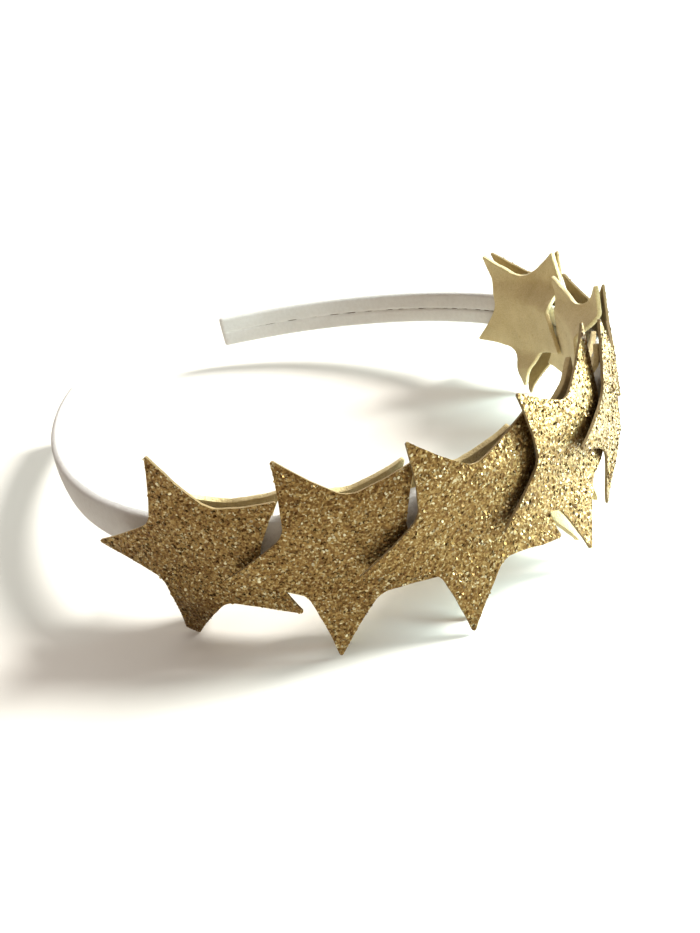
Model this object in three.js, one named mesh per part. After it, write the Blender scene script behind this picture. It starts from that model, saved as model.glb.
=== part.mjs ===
import * as THREE from "three";

// Driving sizes, in millimetres and radians, +Z up.
// The band lies on its side: crown towards -Y, open ends towards +Y, stars across the crown.
const BAND = {
  halfLength: 194.5,
  width: 9.0,
  thickness: 2.6,
  corner: 0.75,
  crownRadius: 66.4,
  sideRadius: 119.0,
  crownReach: 91.0,
  sideReach: 139.0,
  segments: 96,
};
const REST = { tilt: 0.103, pivot: 57.4, height: 20.6 };
const STAR = {
  tipRadius: 22.0,
  notchRadius: 11.25,
  tipBlunt: 0.3,
  notchRound: 1.5,
  notchEase: 0.35,
  edgeHollow: 0.25,
  frontThickness: 1.0,
  backThickness: 1.1,
};
const GAP = 0.32;

// How the layers lean off the band: reach is where the shingle slope ends, and ease is how softly the
// lean begins past the band's edges.
const SHINGLE = { reach: 21.0, ease: 3.0 };
// The felt: its turn and drop for what its cut is smaller by, how much of its slope is lost above the
// band, and its distance from the glitter where it is pinched to it, in gaps.
const FELT = { turnPerLoss: 0.86, dropPerLoss: 1.05, slopeLost: 0.8, pinchGap: 1.25 };
// Where each bend begins and where it is complete, measured out along the star.
const BENDS = {
  droop: [8.0, 22.0],
  curl: [9.0, 22.0],
  dip: [8.5, 19.0],
  tuck: [11.0, 21.0],
  slope: [0.0, 6.0],
  rightShut: [-3.0, 5.0],
  pinchTop: [0.0, 6.5],
  pinchFoot: [13.0, 20.0],
};
// Rings of points in a star, as shares of its outline; the step for finding a slope; and the turns
// in which a star settles on its height.
const RINGS = [0.36, 0.7, 1.0];
const PROBE = 0.05;
const SETTLE_TURNS = 6;
// The arms, counter-clockwise: upper right, upper left, left, foot and right.
const ARM_ANGLES = [54, 126, 198, 270, 342].map((deg) => THREE.MathUtils.degToRad(deg));
const [UPPER_RIGHT, UPPER_LEFT, , FOOT, RIGHT] = ARM_ANGLES.keys();

// Gives each row of a table its column names.
function rowsOf(columns, rows) {
  return rows.map((row) => Object.fromEntries(row.map((value, i) => [columns[i], value])));
}

// Where each star sits and how it bends, one row to a star:
// along: place along the band; turn: turn in its own plane; lean: lean of the arms past the band's edges;
// stand: height of the lowest point above the table; rise: shingle slope;
// leftFlat, flat: how much flatter than the band its left and right sides stay;
// dip, tuck: how far the upper right arm and the right arm bend inwards; curl: inward curl of the foot;
// droop: droop of the right arm; feltSlope: shingle slope of the felt;
// rightShut, footShut: how far the felt's right arms and foot close on the glitter.
const PLACES = rowsOf(
  ["along", "turn", "lean", "stand", "rise", "leftFlat", "flat", "dip", "tuck", "curl", "droop",
    "feltSlope", "rightShut", "footShut"],
  [
    [-79.9, -0.397, -0.05, 0.0, 0.078, 0.4, 0.1, 0.0, 0.0, 2.0, 0.0, 0.085, 0.3, 1.0],
    [-52.6, -0.209, -0.16, 0.0, 0.078, 0.4, 0.1, 0.3, 0.0, 0.0, 0.0, 0.085, 0.3, 0.6],
    [-29.0, -0.19, -0.19, 0.0, 0.078, 0.4, 0.1, 0.8, 0.0, 0.0, 2.4, 0.085, 0.75, 0.6],
    [-2.8, -0.02, -0.21, 3.3, 0.06, 0.4, 0.0, 0.4, 0.75, 0.0, 0.0, 0.085, 0.6, 0.6],
    [18.4, -0.374, -0.07, 4.7, 0.069, 0.4, 0.1, 0.5, 0.0, 1.5, 0.0, 0.085, 0.5, 0.8],
    [54.5, -0.13, -0.1, 0.9, 0.03, 0.05, 0.1, 0.6, 0.0, 0.0, 0.0, 0.085, 0.45, 0.6],
    [84.0, -0.108, -0.16, 0.0, 0.045, 0.4, 0.1, 0.0, 0.0, 10.0, 0.0, 0.06, 0.45, 0.9],
  ],
);

// How each star was cut by hand, one row to a star, as shares of the plain cut:
// rightArm, foot: lengths of the glitter star's upper right arm and foot; rightNotch: how far out the
// notch between its right arms lies; footBlunt: half the width of its foot's tip, in millimetres;
// felt: size of the felt star; feltArm, feltFoot: shares kept of its upper left arm and of its foot;
// feltNotch: how far out the notch between its left arms lies.
const CUTS = rowsOf(
  ["rightArm", "foot", "rightNotch", "footBlunt", "felt", "feltArm", "feltFoot", "feltNotch"],
  [
    [0.9, 0.98, 1.0, 1.6, 0.93, 1.0, 0.85, 1.0],
    [0.92, 1.0, 1.0, 0.3, 0.93, 0.72, 1.0, 1.0],
    [1.0, 1.0, 1.2, 0.3, 0.93, 0.66, 1.0, 1.0],
    [1.2, 1.0, 1.0, 0.3, 0.93, 0.5, 1.0, 1.0],
    [1.0, 1.0, 1.0, 0.3, 0.93, 0.72, 1.0, 1.0],
    [1.0, 1.0, 1.0, 0.3, 1.0, 1.0, 1.0, 1.0],
    [1.0, 1.0, 1.0, 0.3, 1.0, 1.0, 0.86, 1.3],
  ],
);
const STARS = PLACES.map((row, i) => ({ ...row, cut: CUTS[i] }));

const FINISHES = {
  satin: { color: 0xf1ece2, roughness: 0.5 },
  glitter: { color: 0xb8974a, roughness: 0.35 },
  felt: { color: 0xe9dfb8, roughness: 0.95 },
};

function smooth(value, from, to) {
  const t = Math.min(1, Math.max(0, (value - from) / (to - from)));
  return t * t * (3 - 2 * t);
}

// Heading of the band's centre line at a distance s from the middle of the crown.
function heading(s) {
  const a = Math.abs(s);
  const crown = 1 / BAND.crownRadius;
  const side = 1 / BAND.sideRadius;
  const span = BAND.sideReach - BAND.crownReach;
  const inBlend = Math.min(Math.max(a - BAND.crownReach, 0), span);
  const beyond = Math.max(a - BAND.sideReach, 0);
  const blend = crown * inBlend + ((side - crown) * inBlend * inBlend) / (2 * span);
  return Math.sign(s) * (crown * Math.min(a, BAND.crownReach) + blend + side * beyond);
}

// Centre line points, found once by small steps from the middle outwards.
const STEP = 0.5;
const STEPS = 440;
const CENTRE = [{ x: 0, y: 0 }];
for (let i = 1; i <= STEPS; i += 1) {
  const angle = heading((i - 0.5) * STEP);
  const last = CENTRE[i - 1];
  CENTRE.push({ x: last.x + STEP * Math.cos(angle), y: last.y + STEP * Math.sin(angle) });
}

// Point in space at distance s along the band, d outwards and z up, before resting on the table.
function place(s, d, z) {
  const a = Math.abs(s) / STEP;
  const i = Math.min(Math.floor(a), CENTRE.length - 2);
  const f = a - i;
  const x = CENTRE[i].x + f * (CENTRE[i + 1].x - CENTRE[i].x);
  const y = CENTRE[i].y + f * (CENTRE[i + 1].y - CENTRE[i].y);
  const angle = heading(s);
  return new THREE.Vector3(Math.sign(s) * x + d * Math.sin(angle), y - d * Math.cos(angle), z);
}

// The band's plane dips towards the open ends when the stars stand on the table.
function rest(point) {
  const y = point.y - REST.pivot;
  const c = Math.cos(REST.tilt);
  const s = Math.sin(REST.tilt);
  return new THREE.Vector3(point.x, c * y + s * point.z, -s * y + c * point.z + REST.height);
}

// Outline of one layer of a star, counter-clockwise, with blunt tips, hollow edges and round notches.
// The felt's upper left arm is shortened along that arm's right edge.
function outline(cut, isFront) {
  const size = isFront ? 1 : cut.felt;
  const sector = (2 * Math.PI) / ARM_ANGLES.length;
  const reaches = ARM_ANGLES.map(() => 1);
  const depths = ARM_ANGLES.map(() => 1);
  reaches[UPPER_RIGHT] = isFront ? cut.rightArm : 1;
  reaches[FOOT] = isFront ? cut.foot : cut.feltFoot;
  depths[UPPER_RIGHT] = isFront ? cut.rightNotch : 1;
  depths[UPPER_LEFT + 1] = isFront ? 1 : cut.feltNotch;
  const polar = (radius, angle) => {
    const reach = size * radius;
    return new THREE.Vector2(reach * Math.cos(angle), reach * Math.sin(angle));
  };
  const points = [];
  ARM_ANGLES.forEach((angle, arm) => {
    const next = (arm + 1) % ARM_ANGLES.length;
    const before = polar(STAR.notchRadius * depths[arm], angle - sector / 2);
    const after = polar(STAR.notchRadius * depths[next], angle + sector / 2);
    const tip = polar(STAR.tipRadius * reaches[arm], angle);
    if (arm === UPPER_LEFT && !isFront) tip.lerpVectors(before, tip, cut.feltArm);
    const blunt = arm === FOOT && isFront ? cut.footBlunt : STAR.tipBlunt;
    const side = after.clone().sub(before).normalize();
    const lower = tip.clone().addScaledVector(side, -blunt);
    const upper = tip.clone().addScaledVector(side, blunt);
    const hollow = (from, to) => {
      const along = to.clone().sub(from).normalize();
      const inward = new THREE.Vector2(-along.y, along.x);
      return from.clone().lerp(to, 0.5).addScaledVector(inward, STAR.edgeHollow);
    };
    const share = STAR.notchRound / before.distanceTo(lower);
    points.push(before.clone().lerp(lower, share), hollow(before, lower), lower, upper);
    points.push(hollow(upper, after), after.clone().lerp(upper, share));
    points.push(after.clone().multiplyScalar(1 + STAR.notchEase * STAR.notchRound / STAR.notchRadius));
  });
  return points;
}

// How far a leaning star has left the straight, a given distance past the band's edge.
function leaning(past) {
  return (past * past) / (past + SHINGLE.ease);
}

// How far a point p of the flat star lies out along one of its arms.
function reachAlong(arm, p) {
  return p.x * Math.cos(ARM_ANGLES[arm]) + p.y * Math.sin(ARM_ANGLES[arm]);
}

// Where a point p of the flat star lies: u along the band, v up from the star's centre, and
// d outwards from the band's centre line. height is the star's centre above that line.
function standOff(star, p, height, isFront) {
  const loss = isFront ? 0 : 1 - star.cut.felt;
  const turn = star.turn + FELT.turnPerLoss * loss;
  const c = Math.cos(turn);
  const s = Math.sin(turn);
  const toSide = reachAlong(RIGHT, p);
  const drop = FELT.dropPerLoss * loss * STAR.tipRadius + star.droop * smooth(toSide, ...BENDS.droop);
  const u = p.x * c - p.y * s;
  const v = p.x * s + p.y * c - drop;
  const above = Math.max(v + height - BAND.width / 2 - GAP, 0);
  const below = Math.max(-(v + height) - BAND.width / 2 - GAP, 0);
  const lean = star.lean * (leaning(above) - leaning(below));
  const flat = (u < 0 ? star.leftFlat : star.flat) / (2 * BAND.crownRadius);
  const toRight = reachAlong(UPPER_RIGHT, p);
  const lay = Math.max(SHINGLE.reach - u, 0);
  const curl = star.curl * smooth(-p.y, ...BENDS.curl);
  const front = BAND.thickness / 2 + GAP + STAR.frontThickness / 2 + star.rise * lay
    + flat * u * u + lean - star.dip * smooth(toRight, ...BENDS.dip)
    - star.tuck * smooth(toSide, ...BENDS.tuck) - curl;
  if (isFront) return { u, v, d: front };
  const open = -(BAND.thickness / 2 + GAP + STAR.backThickness / 2
    + star.feltSlope * lay * (1 - FELT.slopeLost * smooth(above, ...BENDS.slope))) + lean - curl;
  const shut = front - (STAR.frontThickness + STAR.backThickness) / 2 - FELT.pinchGap * GAP;
  const share = 1 - (1 - star.rightShut) * smooth(u, ...BENDS.rightShut);
  const top = share * smooth(above, ...BENDS.pinchTop);
  const foot = star.footShut * smooth(-p.y, ...BENDS.pinchFoot);
  return { u, v, d: open + Math.max(top, foot) * (shut - open) };
}

function layerPoint(star, p, height, isFront) {
  const { u, v, d } = standOff(star, p, height, isFront);
  return place(star.along + u, d, height + v);
}

// Middle point and outward normal of a layer, from small steps in the flat star.
function layerFrame(star, p, height, isFront) {
  const at = (dx, dy) => layerPoint(star, new THREE.Vector2(p.x + dx, p.y + dy), height, isFront);
  const alongX = at(PROBE, 0).sub(at(-PROBE, 0));
  const alongY = at(0, PROBE).sub(at(0, -PROBE));
  return { middle: at(0, 0), normal: alongX.cross(alongY).normalize() };
}

// A thick curved star: rings of points on both faces, joined by a wall at the outline.
function layerGeometry(star, height, isFront) {
  const rim = outline(star.cut, isFront);
  const thickness = isFront ? STAR.frontThickness : STAR.backThickness;
  const flat = [new THREE.Vector2(0, 0)];
  for (const ring of RINGS) {
    for (const point of rim) flat.push(point.clone().multiplyScalar(ring));
  }
  const positions = [];
  for (const side of [0.5, -0.5]) {
    for (const p of flat) {
      const { middle, normal } = layerFrame(star, p, height, isFront);
      const at = rest(middle.addScaledVector(normal, side * thickness));
      positions.push(at.x, at.y, at.z);
    }
  }
  const n = rim.length;
  const total = flat.length;
  const index = [];
  const node = (ring, k) => 1 + ring * n + (k % n);
  const face = (a, b, c) => {
    index.push(a, b, c);
    index.push(a + total, c + total, b + total);
  };
  for (let k = 0; k < n; k += 1) {
    face(0, node(0, k), node(0, k + 1));
    for (let ring = 0; ring < RINGS.length - 1; ring += 1) {
      face(node(ring, k), node(ring + 1, k), node(ring + 1, k + 1));
      face(node(ring, k), node(ring + 1, k + 1), node(ring, k + 1));
    }
    const a = node(RINGS.length - 1, k);
    const b = node(RINGS.length - 1, k + 1);
    index.push(a, a + total, b, b, a + total, b + total);
  }
  const geometry = new THREE.BufferGeometry();
  geometry.setAttribute("position", new THREE.Float32BufferAttribute(positions, 3));
  geometry.setIndex(index);
  return geometry;
}

// The band: a rounded strip swept along the centre line, cut square at both ends.
function bandGeometry() {
  const w = BAND.width / 2;
  const t = BAND.thickness / 2;
  const r = BAND.corner;
  const section = [];
  for (const [sd, sz, start] of [[1, 1, 0], [-1, 1, 1], [-1, -1, 2], [1, -1, 3]]) {
    for (const part of [0, 0.5, 1]) {
      const angle = ((start + part) * Math.PI) / 2;
      section.push([sd * (t - r) + r * Math.cos(angle), sz * (w - r) + r * Math.sin(angle)]);
    }
  }
  const n = section.length;
  const positions = [];
  for (let i = 0; i <= BAND.segments; i += 1) {
    const s = BAND.halfLength * ((2 * i) / BAND.segments - 1);
    for (const [d, z] of section) {
      const at = rest(place(s, d, z));
      positions.push(at.x, at.y, at.z);
    }
  }
  const index = [];
  for (let i = 0; i < BAND.segments; i += 1) {
    for (let k = 0; k < n; k += 1) {
      const a = i * n + k;
      const b = i * n + ((k + 1) % n);
      index.push(a, a + n, b, b, a + n, b + n);
    }
  }
  const last = BAND.segments * n;
  for (let k = 1; k < n - 1; k += 1) {
    index.push(0, k, k + 1);
    index.push(last, last + k + 1, last + k);
  }
  const geometry = new THREE.BufferGeometry();
  geometry.setAttribute("position", new THREE.Float32BufferAttribute(positions, 3));
  geometry.setIndex(index);
  return geometry;
}

// Height of a star's centre at which its lowest point reaches the wanted height over the table.
function settle(star) {
  let height = 0;
  for (let turn = 0; turn < SETTLE_TURNS; turn += 1) {
    let lowest = Infinity;
    for (const isFront of [true, false]) {
      const geometry = layerGeometry(star, height, isFront);
      geometry.computeBoundingBox();
      lowest = Math.min(lowest, geometry.boundingBox.min.z);
    }
    height -= lowest - star.stand;
  }
  return height;
}

function finish(name, geometry, look) {
  const material = new THREE.MeshStandardMaterial(look);
  material.name = name;
  geometry.computeVertexNormals();
  const mesh = new THREE.Mesh(geometry, material);
  mesh.name = name;
  return mesh;
}

const group = new THREE.Group();
group.name = "star_headband";
group.add(finish("band", bandGeometry(), FINISHES.satin));
STARS.forEach((star, i) => {
  const height = settle(star);
  const front = layerGeometry(star, height, true);
  const back = layerGeometry(star, height, false);
  group.add(finish(`star_${i + 1}_front`, front, FINISHES.glitter));
  group.add(finish(`star_${i + 1}_back`, back, FINISHES.felt));
});

// Stand the whole headband on the table with its box centred over the origin.
const box = new THREE.Box3().setFromObject(group);
const shift = new THREE.Vector3(-(box.min.x + box.max.x) / 2, -(box.min.y + box.max.y) / 2, -box.min.z);
for (const mesh of group.children) mesh.geometry.translate(shift.x, shift.y, shift.z);

export default group;
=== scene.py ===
"""Dresses the star headband: a satin band with glitter stars over felt ones, in a plain studio."""

import logging
from dataclasses import dataclass
from enum import Enum
from math import cos, pi, radians, sin

import bpy
import numpy as np
from mathutils import Matrix, Vector
from mathutils.geometry import delaunay_2d_cdt


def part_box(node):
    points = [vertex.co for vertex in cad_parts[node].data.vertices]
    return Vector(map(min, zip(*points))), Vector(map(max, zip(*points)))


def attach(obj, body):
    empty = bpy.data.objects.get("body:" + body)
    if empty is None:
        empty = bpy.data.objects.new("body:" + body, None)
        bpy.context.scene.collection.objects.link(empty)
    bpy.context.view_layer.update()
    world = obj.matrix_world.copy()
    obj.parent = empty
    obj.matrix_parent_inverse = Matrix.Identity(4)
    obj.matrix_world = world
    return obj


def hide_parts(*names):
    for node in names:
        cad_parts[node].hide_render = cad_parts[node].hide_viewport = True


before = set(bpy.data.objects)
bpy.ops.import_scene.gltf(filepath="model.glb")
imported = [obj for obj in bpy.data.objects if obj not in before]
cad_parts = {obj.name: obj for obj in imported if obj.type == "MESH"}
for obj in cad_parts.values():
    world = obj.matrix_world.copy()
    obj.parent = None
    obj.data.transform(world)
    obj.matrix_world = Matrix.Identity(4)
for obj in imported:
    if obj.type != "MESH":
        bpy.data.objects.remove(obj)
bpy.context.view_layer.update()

MM = 0.001
TINY = 1e-9
IMAGE_WIDTH = 700
SENSOR_WIDTH = 36.0
# Random spots drawn for each one that is wanted inside an outline.
DRAWS_PER_SPOT = 9
LOG = logging.getLogger("star_headband")

Colour = tuple[float, float, float]
Place = tuple[float, float, float]
Span = tuple[float, float]
Array = np.ndarray
Piece = bpy.types.Object
Node = bpy.types.Node
Socket = bpy.types.NodeSocket
Tree = bpy.types.NodeTree
Material = bpy.types.Material
Random = np.random.Generator

# Gold flakes from the dullest to the brightest: rows of place along the ramp and colour.
GOLD_TONES = (
    (0.05, (0.098, 0.042, 0.008)),
    (0.30, (0.162, 0.083, 0.018)),
    (0.55, (0.236, 0.140, 0.038)),
    (0.78, (0.340, 0.238, 0.092)),
    (0.97, (0.620, 0.560, 0.370)),
)


class Layer(Enum):
    """The two cloth layers of a star."""

    GLITTER = "front"
    FELT = "back"


def smooth_step(value: Array, start: float, end: float) -> Array:
    """Eases each value from 0 at start to 1 at end."""
    t = np.clip((value - start) / (end - start), 0.0, 1.0)
    return t * t * (3.0 - 2.0 * t)


def slow_noise(at: Array, period: float, rng: Random) -> Array:
    """Smooth seeded noise from about -1 to 1 at places along a line, with a knot at every period."""
    low = float(at.min())
    count = int((float(at.max()) - low) / period) + 3
    knots = rng.uniform(-1.0, 1.0, count)
    place = (at - low) / period
    index = np.clip(place.astype(int), 0, count - 2)
    t = smooth_step(place - index, 0.0, 1.0)
    return knots[index] * (1.0 - t) + knots[index + 1] * t


def unit(vectors: Array) -> Array:
    """Vectors of length one along the given ones."""
    return vectors / np.linalg.norm(vectors, axis=-1, keepdims=True)


def outward(rim: Array) -> Array:
    """Unit normals of a counter-clockwise outline, pointing out of it."""
    ahead = np.roll(rim, -1, axis=0) - np.roll(rim, 1, axis=0)
    return unit(np.stack([ahead[:, 1], -ahead[:, 0]], axis=1))


def spokes(axes: Array, sides: int, rng: Random) -> Array:
    """Unit spokes round each axis, evenly spread from a random start."""
    first = unit(np.cross(axes, rng.normal(0.0, 1.0, axes.shape)))
    second = np.cross(axes, first)
    turn = (np.arange(sides) * 2 * pi / sides)[None, :, None]
    return first[:, None] * np.cos(turn) + second[:, None] * np.sin(turn)


class Board:
    """A node tree that is being wired."""

    def __init__(self, tree: Tree) -> None:
        """Keeps the tree to wire."""
        self.tree = tree

    def node(self, kind: str, values: dict | None = None, **settings) -> Node:
        """Adds a node.

        Args:
            kind: Blender's name of the node type.
            values: What to put on input sockets, by name or number; a socket is wired.
            settings: Properties of the node itself.
        """
        made = self.tree.nodes.new(kind)
        for name, value in settings.items():
            setattr(made, name, value)
        for name, value in (values or {}).items():
            if isinstance(value, Socket):
                self.tree.links.new(value, made.inputs[name])
            else:
                made.inputs[name].default_value = value
        return made

    def math(self, operation: str, *terms) -> Socket:
        """Adds a Math node on numbers or sockets and returns its result."""
        return self.node("ShaderNodeMath", dict(enumerate(terms)), operation=operation).outputs[0]

    def ramp(self, factor: Socket, stops: tuple) -> Socket:
        """Adds a colour ramp from rows of (place, colour) and returns its colour."""
        made = self.node("ShaderNodeValToRGB", {"Fac": factor})
        elements = made.color_ramp.elements
        while len(elements) < len(stops):
            elements.new(0.5)
        for element, (place, colour) in zip(elements, stops):
            element.position = place
            element.color = (*colour, 1.0)
        return made.outputs["Color"]


class SharedEffects:
    """Shader node groups that more than one finish uses."""

    COARSE_SHARE = 0.45
    FINE_SHARE = 0.55
    COARSE_DETAIL = 3.0
    FINE_DETAIL = 4.0
    WEAVE_SWING = 0.35
    WEAVE_MIDDLE = 0.5
    WEAVE_CROSSING = 0.35
    TONE_SHARE = 0.58
    CELL_SHARE = 0.42
    GLOSS_SPREAD = 0.24
    GLOSS_LEAST = 0.30

    def __init__(self) -> None:
        """Builds each group once."""
        self.mottle = self._mottle()
        self.weave = self._weave()
        self.flake = self._flake()

    @staticmethod
    def _group(name: str, inputs: dict[str, str], outputs: dict[str, str]) -> tuple:
        """Starts a group.

        Args:
            name: Name of the group.
            inputs: Kind of each input socket, by its name.
            outputs: Kind of each output socket, by its name.

        Returns:
            The tree, a board for it, its input sockets by name, and its output node.
        """
        tree = bpy.data.node_groups.new(name, "ShaderNodeTree")
        for way, sockets in (("INPUT", inputs), ("OUTPUT", outputs)):
            for label, kind in sockets.items():
                tree.interface.new_socket(label, in_out=way, socket_type=f"NodeSocket{kind}")
        board = Board(tree)
        start = board.node("NodeGroupInput")
        end = board.node("NodeGroupOutput")
        return tree, board, start.outputs, end

    def _mottle(self) -> Tree:
        """Cloudy variation in two sizes, as cloth has."""
        inputs = {"Vector": "Vector", "Coarse": "Float", "Fine": "Float"}
        tree, board, start, end = self._group("cloth_mottle", inputs, {"Value": "Float"})
        noises = []
        for size, detail in (("Coarse", self.COARSE_DETAIL), ("Fine", self.FINE_DETAIL)):
            values = {"Vector": start["Vector"], "Scale": start[size], "Detail": detail}
            noises.append(board.node("ShaderNodeTexNoise", values).outputs["Fac"])
        half = board.math("MULTIPLY", noises[0], self.COARSE_SHARE)
        value = board.math("MULTIPLY_ADD", noises[1], self.FINE_SHARE, half)
        tree.links.new(value, end.inputs["Value"])
        return tree

    def _weave(self) -> Tree:
        """Crossed threads, the lengthwise ones standing proud."""
        inputs = {"Vector": "Vector", "Along": "Float", "Across": "Float"}
        tree, board, start, end = self._group("thread_weave", inputs, {"Height": "Float"})
        parts = board.node("ShaderNodeSeparateXYZ", {"Vector": start["Vector"]})
        warp = board.math("SINE", board.math("MULTIPLY", parts.outputs["Y"], start["Along"]))
        weft = board.math("SINE", board.math("MULTIPLY", parts.outputs["X"], start["Across"]))
        crossed = board.math("MULTIPLY", board.math("MULTIPLY", warp, weft), self.WEAVE_CROSSING)
        threads = board.math("ADD", warp, crossed)
        height = board.math("MULTIPLY_ADD", threads, self.WEAVE_SWING, self.WEAVE_MIDDLE)
        tree.links.new(height, end.inputs["Height"])
        return tree

    def _flake(self) -> Tree:
        """Colour and gloss of gold flakes, one tone to a flake."""
        inputs = {"Vector": "Vector", "Tone": "Float", "Cells": "Float", "Lift": "Float"}
        outputs = {"Colour": "Color", "Roughness": "Float"}
        tree, board, start, end = self._group("gold_flake", inputs, outputs)
        cells = board.node("ShaderNodeTexVoronoi", {"Vector": start["Vector"], "Scale": start["Cells"]})
        parts = board.node("ShaderNodeSeparateColor", {"Color": cells.outputs["Color"]})
        spread = board.math("MULTIPLY", parts.outputs["Red"], self.CELL_SHARE)
        lifted = board.math("ADD", spread, start["Lift"])
        tone = board.math("MULTIPLY_ADD", start["Tone"], self.TONE_SHARE, lifted)
        rough = board.math("MULTIPLY_ADD", parts.outputs["Green"], self.GLOSS_SPREAD, self.GLOSS_LEAST)
        tree.links.new(board.ramp(tone, GOLD_TONES), end.inputs["Colour"])
        tree.links.new(rough, end.inputs["Roughness"])
        return tree


@dataclass(frozen=True)
class Finish:
    """What every finish has: a name and constant values for the shader's own sockets."""

    name: str
    constants: dict[str, float]

    def start(self) -> tuple[Material, Board, Node]:
        """Makes the material, and gives it with a board for its nodes and its shader."""
        made = bpy.data.materials.new(self.name)
        made.use_nodes = True
        shader = made.node_tree.nodes["Principled BSDF"]
        for name, value in self.constants.items():
            shader.inputs[name].default_value = value
        return made, Board(made.node_tree), shader


@dataclass(frozen=True)
class GlitterFinish(Finish):
    """Gold flakes: a tone for each facet, finer cells within it."""

    lift: float = 0.0
    cells: float = 2300.0

    def material(self, effects: SharedEffects) -> Material:
        """Makes the glitter material."""
        made, board, shader = self.start()
        tone = board.node("ShaderNodeAttribute", attribute_name="tone")
        where = board.node("ShaderNodeTexCoord").outputs["Object"]
        values = {"Vector": where, "Tone": tone.outputs["Fac"], "Cells": self.cells, "Lift": self.lift}
        flake = board.node("ShaderNodeGroup", values, node_tree=effects.flake)
        board.tree.links.new(flake.outputs["Colour"], shader.inputs["Base Color"])
        board.tree.links.new(flake.outputs["Roughness"], shader.inputs["Roughness"])
        return made


@dataclass(frozen=True)
class ClothFinish(Finish):
    """Cloth of cloudy colour, with threads on the piece's own map where it is woven."""

    woven: bool = True
    light: Colour = (0.73, 0.71, 0.675)
    dark: Colour = (0.64, 0.615, 0.575)
    shade_span: Span = (0.36, 0.74)
    coarse: float = 90.0
    fine: float = 900.0
    along: float = 260.0
    across: float = 150.0
    # Painted highlight and shade: how much lighter the raised threads are painted than the grooves between
    # them.
    thread_highlight_and_shade: float = 0.16
    depth: float = 0.00003

    def material(self, effects: SharedEffects) -> Material:
        """Makes the cloth material."""
        made, board, shader = self.start()
        where = board.node("ShaderNodeTexCoord").outputs
        clouds = {"Vector": where["Object"], "Coarse": self.coarse, "Fine": self.fine}
        shade = height = board.node("ShaderNodeGroup", clouds, node_tree=effects.mottle).outputs["Value"]
        if self.woven:
            threads = {"Vector": where["UV"], "Along": self.along, "Across": self.across}
            height = board.node("ShaderNodeGroup", threads, node_tree=effects.weave).outputs["Height"]
            # Raised threads are painted lighter and the grooves between them darker: painted highlight and
            # shade along the weave.
            shade = board.math("MULTIPLY_ADD", height, self.thread_highlight_and_shade, shade)
        colour = board.ramp(shade, tuple(zip(self.shade_span, (self.dark, self.light))))
        board.tree.links.new(colour, shader.inputs["Base Color"])
        bump = board.node("ShaderNodeBump", {"Height": height, "Distance": self.depth, "Strength": 1.0})
        board.tree.links.new(bump.outputs["Normal"], shader.inputs["Normal"])
        return made


class Wardrobe:
    """Every material of the headband, made once."""

    def __init__(self) -> None:
        """Makes the materials from their finishes."""
        effects = SharedEffects()
        coat = {"Coat Weight": 0.15, "Coat Roughness": 0.3}
        gold = {"Metallic": 0.85, **coat}
        self.glitter = GlitterFinish("gold_glitter", gold).material(effects)
        bright_gold = {"Metallic": 0.9, **coat}
        self.flakes = GlitterFinish("gold_flakes", bright_gold, lift=0.06, cells=900.0).material(effects)
        wool = {"Roughness": 0.95, "Sheen Weight": 0.25, "Specular IOR Level": 0.1}
        cream = {"light": (0.70, 0.58, 0.315), "dark": (0.56, 0.445, 0.215), "shade_span": (0.34, 0.62)}
        matted = {"woven": False, "coarse": 190.0, "fine": 2600.0, "depth": 0.0004}
        self.felt = ClothFinish("cream_felt", wool, **cream, **matted).material(effects)
        silk = {"Roughness": 0.45, "Sheen Weight": 0.15, "Anisotropic": 0.35}
        self.satin = ClothFinish("ivory_satin", silk).material(effects)
        matt = {"Roughness": 0.85, "Specular IOR Level": 0.2}
        tan = {"light": (0.42, 0.31, 0.16), "dark": (0.29, 0.20, 0.09), "depth": 0.00005}
        self.backing = ClothFinish("glitter_backing", matt, **tan).material(effects)
        dull = {"Roughness": 0.7, "Specular IOR Level": 0.3}
        # The strip's dark brown is partly its own colour and partly painted shade for the seam, where it
        # shows between the satin's parted edges.
        core_brown_and_seam_shade = {"light": (0.30, 0.235, 0.175), "dark": (0.19, 0.145, 0.105)}
        self.core = ClothFinish("core_strip", dull, **core_brown_and_seam_shade).material(effects)


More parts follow.
